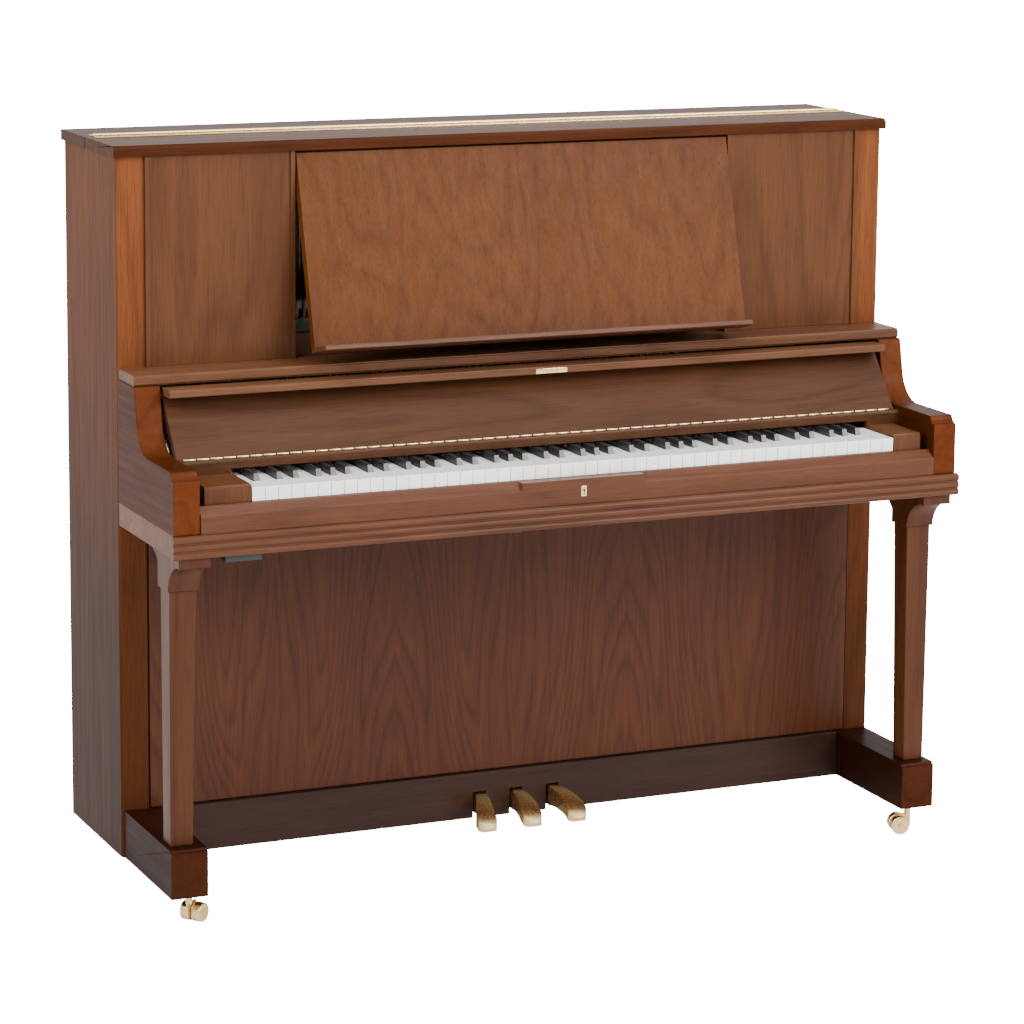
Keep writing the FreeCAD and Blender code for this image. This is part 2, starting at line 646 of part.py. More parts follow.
def fallboard():
    """The leaning board over the keys, its lip, and the fixed strip at its foot."""
    wide = "2 * (%s - arm_thick - fall_clear)" % HALF
    board = new_body("fall_board")
    pad(board, "YZ", [
        along("hinge_gap", "fall_lean", "0"), along("hinge_gap", "fall_lean", "fall_thick"),
        along("fall_length - 5", "fall_lean", "fall_thick"),
        along("fall_length", "fall_lean", "fall_thick - 7"),
        along("fall_length", "fall_lean", "0")], wide, middle=True)
    leaf = rod("fall_barrel", "x", (neg(wide) + " / 2", fore("hinge_back"), "hinge_level"),
               "1.8", wide)
    node(group("fall_set", [board, leaf]), "fallboard_panel")
    edge_y, edge_z = along("fall_length", "fall_lean")
    lip = new_body("fall_lip")
    nose, low = edge_y + " - lip_reach", edge_z + " + lip_gap"
    pad(lip, "YZ", [
        (edge_y, low), (nose + " + 1.5", low), (nose, low + " + 1.5"),
        (nose, low + " + lip_thick - 3", "3", -1), (nose + " + 3", low + " + lip_thick"),
        (edge_y, low + " + lip_thick")], wide, middle=True)
    striker = box("striker_plate", ("-14", "46"), (nose + " - 0.8", nose),
                  (low + " + 2", low + " + lip_thick - 3.2"))
    node(group("lip_set", [lip, striker]), "fallboard_lip")
    strip = new_body("hinge_strip")
    front, top = fore("hinge_back + strip_gap + 2 + strip_thick"), "hinge_level"
    pad(strip, "YZ", [
        (front + " + strip_thick", top + " - strip_drop"), (front, top + " - strip_drop"),
        (front, top + " - 5", "5", -1), (front + " + 5", top),
        (front + " + strip_thick", top)], "2 * (%s - arm_thick - fit_gap)" % HALF,
        middle=True)
    for sign in (-1, 1):
        inner = keyboard_edge(sign) + " + %d * 2 * fit_gap" % sign
        outer = "%d * (%s - arm_thick - fit_gap)" % (sign, HALF)
        pad(strip, "YZ", rectangle((front, front + " + strip_thick"),
                                   ("bed_top + fit_gap", top + " - strip_drop + 1")),
            "abs(%s - (%s))" % (outer, inner), "((%s) + %s) / 2" % (inner, outer),
            middle=True)
    stays = []
    for name, sign in SIDES:
        stay = rod("fall_stay_%s" % name, "z", (
            "%d * (%s - arm_thick - fall_clear / 2)" % (sign, HALF),
            fore("hinge_back - stay_back"), "hinge_level - stay_drop"), "stay_radius",
            "stay_length")
        stay.Placement.Rotation = FreeCAD.Rotation(V(1, 0, 0), -num("stay_lean"))
        stays.append(stay)
    node(group("fall_base_set", [strip] + stays), "fallboard_base")


# ---------------------------------------------------------------- upper panel and desk
def upper_panel():
    """Two panels beside the desk, joined behind it by a top and a bottom rail."""
    low, high = "shelf_top + fit_gap", LID_BOTTOM + " - lid_gap"
    face, rear = fore("panel_proud"), fore("panel_proud - panel_thick")
    pieces = []
    for name, sign in SIDES:
        inner = "desk_half + desk_gap"
        pieces.append(box("upper_board_%s" % name, side_span(sign, inner, INSIDE),
                          (face, rear), (low, high)))
        beads = ((inner, inner + " + bead_width"), (INSIDE + " - bead_width", INSIDE))
        for i, (start, end) in enumerate(beads):
            pieces.append(box("bead_%s_%d" % (name, i), side_span(sign, start, end),
                              (fore("panel_proud + bead_proud"), face), (low, high)))
    for place, bottom in (("low", low), ("high", high + " - rail_height")):
        pieces.append(box("panel_rail_" + place, (neg(INSIDE), INSIDE),
                          (rear, rear + " + rail_thick"), (bottom, bottom + " + rail_height")))
    for name, sign in SIDES:
        pieces.append(desk_pin("pin_%s" % name, sign, "desk_pin", "desk_pin_in"))
    node(group("upper_set", pieces), "upper_panel")


def desk_point(down, forward):
    """A point on the open music desk as (y, z): down its face, and out from it."""
    lean = "desk_lean * 1deg"
    return ("case_front - panel_proud - (%s) * sin(%s) - (%s) * cos(%s)" % (
                down, lean, forward, lean),
            "%s - desk_top_gap - (%s) * cos(%s) + (%s) * sin(%s)" % (
                LID_BOTTOM, down, lean, forward, lean))


def desk_pin(name, sign, radius, depth):
    """A round pin, or the bore for it, in one end of the desk near its top edge."""
    reach = "desk_gap + %s" % depth
    start = "desk_half + desk_gap - (%s)" % reach if sign > 0 else "-(desk_half + desk_gap)"
    return rod(name, "x", (start, back("desk_pin_back"), LID_BOTTOM + " - desk_pin_drop"),
               radius, reach)


def music_desk():
    """The panel that swings out below the lid, and the ledge that holds the music."""
    board = new_body("desk_board")
    pad(board, "YZ", [desk_point(2, 0), desk_point(DESK_LENGTH, 0),
                      desk_point(DESK_LENGTH, "-desk_thick"),
                      desk_point("6", "-desk_thick"), desk_point(0, "-desk_thick + 6"),
                      desk_point(0, "-2")], "2 * desk_half", middle=True)
    bores = [desk_pin("bore_%s" % name, sign, "desk_pin + pin_clear", "desk_pin_in + 1")
             for name, sign in SIDES]
    node(cut("desk_bored", board, fuse("desk_bores", bores)), "music_desk")
    ledge = new_body("desk_ledge_board")
    top, bottom = DESK_LENGTH + " + fit_gap / 5", DESK_LENGTH + " + ledge_thick"
    for front, rear, wide in (("ledge_forward", "ledge_proud", "ledge_half"),
                              ("ledge_proud + 1", "-ledge_behind", "desk_half")):
        pad(ledge, "YZ", [desk_point(top, front), desk_point(top, rear),
                          desk_point(bottom, rear), desk_point(bottom, front)],
            "2 * %s" % wide, middle=True)
    near, far = desk_point(DESK_LENGTH, 0)[0], desk_point(
        DESK_LENGTH, "ledge_forward + 6")[0]
    for sign in (-1, 1):
        edge = "%d * (ledge_half + 1)" % sign
        corners = [(edge, near), ("%d * (ledge_half - ledge_taper)" % sign, far), (edge, far)]
        pocket(ledge, "XY", corners, "ledge_forward * 2", desk_point(DESK_LENGTH, 0)[1],
               middle=True)
    node(ledge, "music_desk_ledge")


# ---------------------------------------------------------------- pedals
def pedal_places():
    """The middle of each pedal where it passes the toe rail, on X."""
    return ["pedal_centre + (%d) * pedal_spacing" % i for i in (-1, 0, 1)]


def pedals():
    """Brass levers on a cross pin, each with a deep neck at the rail and a curved toe."""
    names = ("left", "middle", "right")
    for name, middle, way in zip(names, pedal_places(), (-1, 0, 1)):
        side = new_body("pedal_%s_side" % name)
        pivot, level = back("pedal_pivot_y"), "pedal_pivot_z"
        rail_y, toe_y = fore("rail_front + 8"), fore("pedal_toe")
        tail_y, half = back("pedal_tail + 8"), "pedal_thick / 2"
        pad(side, "YZ", [
            (tail_y, level + " + " + half), (rail_y, level + " + " + half,
                                             "pedal_toe + 20", -1),
            (toe_y, level + " - pedal_drop"), (toe_y + " + 5", level + " - pedal_drop - 8"),
            (toe_y + " + 14", level + " - pedal_drop - 7", "pedal_toe", 1),
            (rail_y, level + " - pedal_neck"), (rail_y + " + 34", level + " - pedal_neck"),
            (rail_y + " + 50", level + " - " + half),
            (tail_y, level + " - " + half)], "pedal_toe_width * 3", middle, middle=True)
        plan = new_body("pedal_%s_plan" % name)
        toe = "%s + (%d) * pedal_splay" % (middle, way)
        toe_half, bar = "pedal_toe_width / 2", "pedal_bar / 2"
        pad(plan, "XY", [
            (middle + " - " + bar, tail_y), (middle + " - " + bar, rail_y),
            (toe + " - " + toe_half, toe_y + " + 26"),
            (toe + " - " + toe_half, toe_y + " + 14", "pedal_toe_width / 2 + 1", -1),
            (toe + " + " + toe_half, toe_y + " + 14"),
            (toe + " + " + toe_half, toe_y + " + 26"),
            (middle + " + " + bar, rail_y), (middle + " + " + bar, tail_y)],
            "pedal_pivot_z * 2", 0)
        shaped = doc.addObject("Part::Common", "pedal_%s_shape" % name)
        shaped.Base, shaped.Tool = side, plan
        boss = rod("pedal_%s_boss" % name, "x", (middle + " - pedal_bar / 2", pivot, level),
                   "pedal_pin + 5", "pedal_bar")
        hole = rod("pedal_%s_hole" % name, "x", (middle + " - pedal_bar", pivot, level),
                   "pedal_pin + pin_clear", "2 * pedal_bar")
        lever = fuse("pedal_%s_lever" % name, [shaped, boss])
        node(cut("pedal_%s_drilled" % name, lever, hole), "pedal_%s" % name)


def pedal_rods():
    """Wooden rods that carry the outer pedals' motion up to the action."""
    for name, middle in (("left", pedal_places()[0]), ("right", pedal_places()[2])):
        foot = "pedal_pivot_z + pedal_thick / 2 + 0.3"
        node(rod("rod_%s" % name, "z", (middle, back("pedal_tail"), foot), "rod_radius",
                 "rod_top - (%s)" % foot), "pedal_rod_%s" % name)


def pedal_pins():
    """The cross pin and its blocks, which stand on the bottom board."""
    low = "board_bottom + board_thick"
    span = "pedal_spacing + pedal_bar / 2 + 14"
    pin = rod("cross_pin", "x", ("pedal_centre - (%s)" % span, back("pedal_pivot_y"),
                                 "pedal_pivot_z"), "pedal_pin", "2 * (%s)" % span)
    blocks = []
    for i in range(4):
        middle = "pedal_centre + (%s) * pedal_spacing" % (i - 1.5)
        blocks.append(box("pin_block_%d" % i, (middle + " - 11", middle + " + 11"),
                          (back("pedal_pivot_y - 12"), back("pedal_pivot_y + 12")),
                          (low, "pedal_pivot_z + 10")))
    return [pin] + blocks


# ---------------------------------------------------------------- casters
def casters():
    """Four brass swivel casters, each with a pair of small wheels, turned as they stand."""
    places = []
    for end, depth in (("front", fore("caster_front_y")), ("rear", back("caster_rear_y"))):
        for name, sign in SIDES:
            line = "caster_x" if end == "front" else "caster_rear_x"
            places.append(("%s_%s" % (end, name), "%d * %s" % (sign, line), depth,
                           num("turn_" + name)))
    for place, stand_x, stand_y, turn in places:
        top = "toe_bottom" if "front" in place else "case_bottom"
        x, y, axle_y = "0", "0", "caster_trail"
        stand = FreeCAD.Placement(V(num(stand_x), num(stand_y), 0),
                                  FreeCAD.Rotation(V(0, 0, 1), turn))
        deck = "2 * wheel_radius + caster_clear"
        plate = rod("plate_" + place, "z", (x, y, top + " - caster_plate - 0.2"),
                    "wheel_radius - 3", "caster_plate")
        stem = rod("stem_" + place, "z", (x, y, deck), "stem_radius",
                   "%s - (%s) - 0.2" % (top, deck))
        horn = box("horn_" + place, (x + " - horn_thick / 2", x + " + horn_thick / 2"),
                   (y + " - stem_radius", axle_y + " + axle_radius + 3"),
                   ("wheel_radius - axle_radius - 3", deck + " + 2"))
        axle = rod("axle_" + place, "x", (x + " - wheel_gap / 2 - wheel_width", axle_y,
                                          "wheel_radius"), "axle_radius",
                   "wheel_gap + 2 * wheel_width")
        fork = fuse("fork_" + place, [plate, stem, horn, axle])
        fork.Placement = stand
        node(fork, "caster_fork_" + place)
        wheels = []
        for side, start in (("a", x + " - wheel_gap / 2 - wheel_width"),
                            ("b", x + " + wheel_gap / 2")):
            disc = rod("disc_%s_%s" % (side, place), "x", (start, axle_y, "wheel_radius"),
                       "wheel_radius", "wheel_width")
            bore = rod("bore_%s_%s" % (side, place), "x", (start + " - 1", axle_y,
                                                          "wheel_radius"),
                       "axle_radius + pin_clear", "wheel_width + 2")
            wheels.append(cut("wheel_%s_%s" % (side, place), disc, bore))
        pair = group("pair_" + place, wheels)
        pair.Placement = stand
        node(pair, "caster_wheels_" + place)


# ---------------------------------------------------------------- strung back
def soundboard():
    """A thin board with ribs behind it and two bridges in front."""
    wide = HALF + " - side_board - 4"
    panel = box("sound_panel", (neg(wide), wide),
                (back("board_front"), back("board_front + soundboard_thick")),
                ("iron_bottom - 20", STRING_TOP + " - 20"))
    ribs = []
    for i in range(9):
        level = "iron_bottom + 40 + %d * (%s - iron_bottom - 120) / 8" % (i, STRING_TOP)
        ribs.append(box("rib_%d" % i, (neg(wide) + " + 30", wide + " - 30"),
                        (back("board_front + soundboard_thick"),
                         back("board_front + soundboard_thick + rib_depth")),
                        (level, level + " + rib_width")))
    bridges = []
    for i in range(5):
        left, right = plate_bay(i)
        bridges.append(box("bridge_%d" % i, (left + " + bridge_gap", right + " - bridge_gap"),
                           (back("string_y + bass_radius + fit_gap"), back("board_front")),
                           ("string_bottom + 30 + %d * bridge_step" % i,
                            "string_bottom + 60 + %d * bridge_step" % i)))
    node(group("sound_set", [panel] + bridges + ribs), "soundboard")


PLATE_HALF = "(%s - side_board - 8)" % HALF


def plate_bay(i):
    """The left and right sides of one open bay of the iron plate."""
    bay = "((2 * %s - 6 * iron_strut) / 5)" % PLATE_HALF
    left = "%s + %d * iron_strut + %d * %s" % (neg(PLATE_HALF), i + 1, i, bay)
    return left, left + " + " + bay


def iron_plate():
    """The cast plate that takes the strings' pull: a frame with struts and open bays."""
    body = new_body("cast_plate")
    pad(body, "XZ", rectangle((neg(PLATE_HALF), PLATE_HALF), ("iron_bottom", IRON_TOP)),
        "iron_thick", neg(back("plate_front_y + iron_thick")))
    for i in range(5):
        pocket(body, "XZ", rectangle(plate_bay(i), (
            "string_bottom + 10", STRING_TOP + " - 40")), "iron_thick + 2",
            neg(back("plate_front_y - 1")))
    node(body, "iron_plate")


def pin_block():
    node(box("wrest_plank", (neg(PLATE_HALF), PLATE_HALF),
             (back("block_front_y"), back("post_front - fit_gap")),
             (IRON_TOP + " - block_height", IRON_TOP)), "pin_block")


def strings():
    """One wire a note and its tuning pin, wound and thick in the bass."""
    level, bottom = num(STRING_TOP), num("string_bottom")
    depth, front = num(back("string_y")), num(back("plate_front_y"))
    wires = []
    for i in range(88):
        bass = i < 26
        start = num("keyboard_shift") + (i - 43.5) * num("52 * key_pitch / 88")
        drift = 90 * (1 - i / 26) + 20 if bass else -70 * (87 - i) / 62
        low = bottom + (0 if bass else (i - 26) ** 2 / 5.2)
        radius = num("bass_radius") if bass else num("wire_radius")
        run = V(drift * (level - low) / (level - bottom) * 0.2, 0, low - level)
        wires.append(Part.makeCylinder(radius, run.Length, V(start, depth, level), run))
        row = level + 8 + (i % 3) * num("pin_row_gap")
        wires.append(Part.makeCylinder(num("tuning_pin_radius"), num("pin_proud"),
                                       V(start, front - 0.2, row), V(0, -1, 0)))
    strung = doc.addObject("Part::Feature", "strung_set")
    strung.Shape = Part.makeCompound(wires)
    node(strung, "strings")


def action_frame():
    """Iron brackets on the key bed with the long rails that carry the action."""
    spots = ("-660", "670")
    pieces = []
    for i, x in enumerate(spots):
        body = new_body("bracket_%d" % i)
        foot = back("bracket_feet_y")
        pad(body, "YZ", [
            (foot, "bed_top"), (foot + " + 20", "bed_top"),
            (back("main_rail_y + 26"), "main_rail_z"),
            (back("hammer_y + 2"), "bracket_top"),
            (back("hammer_y - 16"), "bracket_top"),
            (back("main_rail_y - 14"), "main_rail_z")], "bracket_thick", x, middle=True)
        pieces.append(body)
    left, right = (x + " %s bracket_thick / 2" % side for x, side in zip(spots, "+-"))
    pieces.append(box("main_rail", (left, right), (back("main_rail_y"),
                      back("main_rail_y + 12")), ("main_rail_z - 20", "main_rail_z - 2")))
    node(group("action_set", pieces), "action_frame")


def hammers():
    """Felt hammers on their shanks, one to a note, with the rail that they rest on."""
    pieces = []
    pivot, level = num(back("hammer_y - 4")), num("hammer_pivot_z")
    tip, top = num(back("hammer_y")), num("hammer_z")
    width = num("hammer_width")
    for i in range(88):
        x = num("keyboard_shift") + (i - 43.5) * num("52 * key_pitch / 88")
        butt = Part.makeBox(width - 2, 16, 22, V(x - width / 2 + 1, pivot - 10, level - 6))
        shank = Part.makeCylinder(2.8, top - level - 16, V(x, pivot - 2, level + 15.9))
        head = Part.makeBox(width - 2, 32, 14, V(x - width / 2 + 1, pivot - 12, top - 0.5))
        nose = Part.makeCylinder(7, width - 2, V(x - width / 2 + 1, tip + 15, top + 6.5),
                                 V(1, 0, 0))
        pieces.append(butt.fuse([shank, head, nose]).removeSplitter())
    rail = Part.makeBox(num("52 * key_pitch"), 14, 24,
                        V(num(keyboard_edge(-1)), pivot - 20, num("hammer_rail_z")))
    centre_rod = Part.makeCylinder(3, num("52 * key_pitch"),
                                   V(num(keyboard_edge(-1)), pivot, level), V(1, 0, 0))
    moving = doc.addObject("Part::Feature", "hammer_set")
    moving.Shape = Part.makeCompound([centre_rod.fuse(pieces), rail])
    node(moving, "hammers")


def dampers():
    """Damper heads against the strings, each on a wire from one lifting rod."""
    pieces = []
    y, level = num(back("damper_y")), num("damper_pivot_z")
    face = num(back("string_y")) - 0.4 - num("bass_radius")
    left = num(keyboard_edge(-1))
    for i in range(68):
        x = num("keyboard_shift") + (i - 43.5) * num("52 * key_pitch / 88")
        wire = Part.makeCylinder(1.4, num("damper_z") - level, V(x, y, level))
        head = Part.makeBox(9, face - y + 2, 34, V(x - 4.5, y - 2, num("damper_z") - 2))
        pieces.append(wire.fuse(head))
    lift = Part.makeCylinder(5, num("68 * 52 * key_pitch / 88"), V(left, y, level - 5),
                             V(1, 0, 0))
    moving = doc.addObject("Part::Feature", "damper_set")
    moving.Shape = pieces[0].fuse(pieces[1:] + [lift])
    node(moving, "dampers")


def muffler():
    """The rail whose felt drops between hammers and strings."""
    edge = keyboard_edge(-1), keyboard_edge(1)
    rail = box("muffler_bar", edge, (back("muffler_y"), back("muffler_y + 6")),
               ("muffler_z", "muffler_z + 18"))
    felt = box("muffler_felt", edge, (back("muffler_y + 1"), back("muffler_y + 4")),
               ("muffler_z - 24", "muffler_z"))
    node(fuse("muffler_set", [rail, felt]), "muffler_rail")


def check_and_write():
    """Stops on any failed object or bad shape, then writes one STEP file a sub-part."""
    doc.recompute()
    failed = [thing.Name for thing in doc.Objects
              if "Invalid" in thing.State or "Error" in thing.State]
    if failed:
        raise ValueError("these did not compute: %s" % ", ".join(failed))
    for thing in NODES:
        if thing.Shape.isNull() or not thing.Shape.isValid() or not thing.Shape.Solids:
            raise ValueError("%s has no sound shape" % thing.Label)
    os.makedirs("parts", exist_ok=True)
    for thing in NODES:
        thing.Shape.exportStep("parts/%s.step" % thing.Label)
    print("%d sub-parts written" % len(NODES))


side_panels()
lid()
back_frame()
lower_case()
legs()
key_bed()
moulding()
arms()
key_slip()
key_blocks()
music_shelf()
keys()
key_frame()
fallboard()
upper_panel()
music_desk()
pedals()
pedal_rods()
casters()
soundboard()
iron_plate()
pin_block()
strings()
action_frame()
hammers()
dampers()
muffler()
check_and_write()
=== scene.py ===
import math

import bpy
from mathutils import Matrix, Vector


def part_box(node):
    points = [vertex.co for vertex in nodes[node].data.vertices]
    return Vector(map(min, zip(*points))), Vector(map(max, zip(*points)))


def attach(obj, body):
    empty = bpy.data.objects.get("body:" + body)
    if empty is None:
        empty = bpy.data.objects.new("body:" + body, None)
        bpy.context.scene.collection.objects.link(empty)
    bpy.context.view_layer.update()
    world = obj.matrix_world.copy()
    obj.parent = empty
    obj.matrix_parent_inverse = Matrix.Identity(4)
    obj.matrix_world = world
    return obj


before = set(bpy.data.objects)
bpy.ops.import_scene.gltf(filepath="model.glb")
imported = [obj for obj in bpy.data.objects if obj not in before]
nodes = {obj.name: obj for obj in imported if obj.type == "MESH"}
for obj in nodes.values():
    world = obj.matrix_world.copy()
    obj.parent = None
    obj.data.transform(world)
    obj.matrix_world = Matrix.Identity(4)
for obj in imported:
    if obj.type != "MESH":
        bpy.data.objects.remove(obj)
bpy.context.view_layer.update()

MM = 0.001
LETTERS = "c c_sharp d d_sharp e f f_sharp g g_sharp a a_sharp b".split()
CORNERS = ("front_left", "front_right", "rear_left", "rear_right")


# ------------------------------------------------------------------ material helpers
def new_material(name, roughness, metallic=0.0, coat=0.0):
    material = bpy.data.materials.new(name)
    material.use_nodes = True
    shader = material.node_tree.nodes["Principled BSDF"]
    shader.inputs["Roughness"].default_value = roughness
    shader.inputs["Metallic"].default_value = metallic
    shader.inputs["Coat Weight"].default_value = coat
    shader.inputs["Coat Roughness"].default_value = 0.25
    return material, material.node_tree, shader


def add(tree, kind, **values):
    """Adds a node; its inputs are given by name, its own settings in lower case."""
    made = tree.nodes.new(kind)
    for key, value in values.items():
        if key in made.inputs:
            made.inputs[key].default_value = value
        else:
            setattr(made, key, value)
    return made


def place(tree, scale, turn=(0, 0, 0), shift=(0, 0, 0)):
    """Object coordinates, turned, moved and stretched."""
    where = add(tree, "ShaderNodeTexCoord")
    mapping = add(tree, "ShaderNodeMapping", Scale=scale, Rotation=turn, Location=shift)
    tree.links.new(where.outputs["Object"], mapping.inputs["Vector"])
    return mapping.outputs["Vector"]


def component(tree, output, axis):
    """One axis of the Object or Normal coordinates."""
    where = add(tree, "ShaderNodeTexCoord")
    parts = add(tree, "ShaderNodeSeparateXYZ")
    tree.links.new(where.outputs[output], parts.inputs[0])
    return parts.outputs[axis]


def remap(tree, value, start, end, low, high, kind="LINEAR"):
    """Carries a value from the range start to end over to low to high."""
    made = add(tree, "ShaderNodeMapRange", interpolation_type=kind)
    tree.links.new(value, made.inputs["Value"])
    for key, number in zip(("From Min", "From Max", "To Min", "To Max"),
                           (start, end, low, high)):
        made.inputs[key].default_value = number
    return made.outputs["Result"]


def noise(tree, vector, scale, detail=4.0, roughness=0.55, distortion=0.0):
    made = add(tree, "ShaderNodeTexNoise", Scale=scale, Detail=detail, Roughness=roughness,
               Distortion=distortion)
    tree.links.new(vector, made.inputs["Vector"])
    return made.outputs["Fac"]


def ramp(tree, factor, stops):
    """Colours, or greys, against a factor."""
    made = tree.nodes.new("ShaderNodeValToRGB")
    while len(made.color_ramp.elements) < len(stops):
        made.color_ramp.elements.new(0.5)
    for element, (position, colour) in zip(made.color_ramp.elements, stops):
        element.position = position
        element.color = colour if len(colour) == 4 else (*colour, 1)
    tree.links.new(factor, made.inputs["Fac"])
    return made.outputs["Color"]


def grey(value):
    return (value, value, value, 1)


def mix(tree, kind, amount, first, second):
    """Blends two colours; amount is a number or an output."""
    made = add(tree, "ShaderNodeMix", data_type="RGBA", blend_type=kind)
    for socket, value in ((made.inputs["Factor"], amount), (made.inputs[6], first),
                          (made.inputs[7], second)):
        if isinstance(value, bpy.types.NodeSocket):
            tree.links.new(value, socket)
        else:
            socket.default_value = value
    return made.outputs[2]


def math_node(tree, kind, first, second=0.0):
    made = add(tree, "ShaderNodeMath", operation=kind)
    for socket, value in zip(made.inputs, (first, second)):
        if isinstance(value, bpy.types.NodeSocket):
            tree.links.new(value, socket)
        else:
            socket.default_value = value
    return made.outputs[0]


def bump(tree, shader, height, strength, distance):
    made = add(tree, "ShaderNodeBump", Strength=strength, Distance=distance)
    tree.links.new(height, made.inputs["Height"])
    tree.links.new(made.outputs["Normal"], shader.inputs["Normal"])


# ------------------------------------------------------------------ wood
# how much the grain is squeezed across each axis when it runs along X, Y or Z
RUNS = {"x": (0.035, 1, 1), "y": (1, 0.035, 1), "z": (1, 1, 0.035)}
# heights, in metres, between which the height ramp goes from painted shade at the foot to painted
# light at the head
PAINTED_SHADE_FOOT, PAINTED_LIGHT_HEAD = 0.25, 1.25


def wood(name, light, dark, run="z", figure=0.5, seed=0.0, leaf=None, roughness=0.36,
         pores=0.5, bands=26.0, front=1.0, painted_height_light=None, gloss=0.14):
    """Lacquered walnut veneer: broad figure, growth lines, pores, and a satin sheen.

    leaf is the width of one sheet of veneer on X; every other sheet is mirrored. front paints light
    on the faces that look forward, and the height ramp paints shade on the foot and light on the head.
    """
    material, tree, shader = new_material(name, roughness)
    shader.inputs["Specular IOR Level"].default_value = gloss
    squeeze = RUNS[run]
    if leaf:
        where = add(tree, "ShaderNodeTexCoord")
        parts = add(tree, "ShaderNodeSeparateXYZ")
        tree.links.new(where.outputs["Object"], parts.inputs[0])
        across = math_node(tree, "PINGPONG", math_node(tree, "ADD", parts.outputs["X"],
                                                       leaf * 20), leaf)
        sheet = math_node(tree, "FLOOR", math_node(
            tree, "DIVIDE", math_node(tree, "ADD", parts.outputs["X"], leaf * 20), leaf * 2))
        joined = add(tree, "ShaderNodeCombineXYZ")
        tree.links.new(across, joined.inputs["X"])
        tree.links.new(math_node(tree, "ADD", parts.outputs["Y"],
                                 math_node(tree, "MULTIPLY", sheet, 0.013)),
                       joined.inputs["Y"])
        tree.links.new(parts.outputs["Z"], joined.inputs["Z"])
        base = joined.outputs[0]
    else:
        base = place(tree, (1, 1, 1), shift=(seed, seed * 0.7, seed * 1.3))
    stretched = add(tree, "ShaderNodeMapping", Scale=squeeze)
    tree.links.new(base, stretched.inputs["Vector"])
    grain = stretched.outputs["Vector"]
    # slow waves bend the growth lines into the long flames of flat-cut veneer
    slow = add(tree, "ShaderNodeMapping", Scale=tuple(0.3 + 0.7 * v if v == 1 else 0.25
                                                      for v in squeeze))
    tree.links.new(base, slow.inputs["Vector"])
    broad = noise(tree, slow.outputs["Vector"], 3.2, 2.0, 0.45, 0.4)
    lines = add(tree, "ShaderNodeTexNoise", Scale=4.0, Detail=3.0, Roughness=0.5)
    tree.links.new(grain, lines.inputs["Vector"])
    rings = math_node(tree, "FRACT", math_node(
        tree, "ADD", math_node(tree, "MULTIPLY", broad, bands * figure),
        math_node(tree, "MULTIPLY", lines.outputs["Fac"], bands * 0.35)))
    ring = ramp(tree, rings, ((0.0, grey(0.55)), (0.55, grey(0.8)), (0.86, grey(0.25)),
                              (1.0, grey(0.55))))
    streak = noise(tree, grain, 90.0, 6.0, 0.65)
    fine = noise(tree, grain, 420.0, 4.0, 0.7)
    body = mix(tree, "MIX", 0.5, ring, streak)
    body = mix(tree, "MIX", 0.35, body, broad)
    colour = ramp(tree, body, ((0.28, dark), (0.50, tuple(
        0.45 * a + 0.55 * b for a, b in zip(dark, light))), (0.70, light)))
    pore = ramp(tree, fine, ((0.36, grey(0.45)), (0.50, grey(1.0))))
    colour = mix(tree, "MULTIPLY", pores, colour, pore)
    cloud = noise(tree, place(tree, (1, 1, 1), shift=(seed + 3, 0, 0)), 2.6, 2.0)
    colour = mix(tree, "MULTIPLY", 0.5, colour, ramp(tree, cloud, (
        (0.3, grey(0.8)), (0.7, grey(1.12)))))
    # painted light: faces that look forward are made lighter in colour, not by any lamp
    if front != 1:
        turned = remap(tree, component(tree, "Normal", "Y"), 0.0, -1.0, 1.0, front)
        colour = mix(tree, "MULTIPLY", 1.0, colour, turned)
    # painted light and shade: the colour is darkened towards the foot and lightened towards the head
    if painted_height_light:
        height_light_factor = remap(tree, component(tree, "Object", "Z"), PAINTED_SHADE_FOOT, PAINTED_LIGHT_HEAD, *painted_height_light,
                     kind="SMOOTHSTEP")
        colour = mix(tree, "MULTIPLY", 1.0, colour, height_light_factor)
    tree.links.new(colour, shader.inputs["Base Color"])
    tree.links.new(ramp(tree, streak, ((0.3, grey(roughness + 0.08)),
                                       (0.7, grey(roughness - 0.05)))),
                   shader.inputs["Roughness"])
    bump(tree, shader, mix(tree, "MIX", 0.4, streak, pore), 0.10, 0.0006)
    return material


def brass(name, roughness=0.24, colour=(0.80, 0.58, 0.27), dull=0.9):
    """Lacquered brass with faint tarnish and fine polishing lines."""
    material, tree, shader = new_material(name, roughness, metallic=1.0)
    lines = noise(tree, place(tree, (1, 1, 6)), 260.0, 3.0)
    cloud = noise(tree, place(tree, (1, 1, 1)), 34.0, 4.0)
    dim = tuple(c * dull for c in colour)
    tree.links.new(ramp(tree, cloud, ((0.25, dim), (0.55, colour), (0.9, tuple(
        min(c * 1.18, 1) for c in colour)))), shader.inputs["Base Color"])
    tree.links.new(ramp(tree, mix(tree, "MIX", 0.5, lines, cloud), (
        (0.3, grey(roughness + 0.12)), (0.7, grey(roughness - 0.06)))),
        shader.inputs["Roughness"])
    return material


def plain(name, colour, roughness, metallic=0.0, coat=0.0, speck=60.0, spread=0.12,
          relief=0.1):
    """Lacquer, plastic, felt or iron: one colour with a little drift and tooth."""
    material, tree, shader = new_material(name, roughness, metallic, coat)
    drift = noise(tree, place(tree, (1, 1, 1)), speck, 5.0, 0.6)
    low = tuple(c * (1 - spread) for c in colour)
    high = tuple(min(c * (1 + spread), 1) for c in colour)
    tree.links.new(ramp(tree, drift, ((0.3, low), (0.7, high))), shader.inputs["Base Color"])
    tree.links.new(ramp(tree, drift, ((0.3, grey(min(roughness + 0.06, 1))),
                                      (0.7, grey(roughness - 0.04)))),
                   shader.inputs["Roughness"])
    bump(tree, shader, drift, relief, 0.0004)
    return material


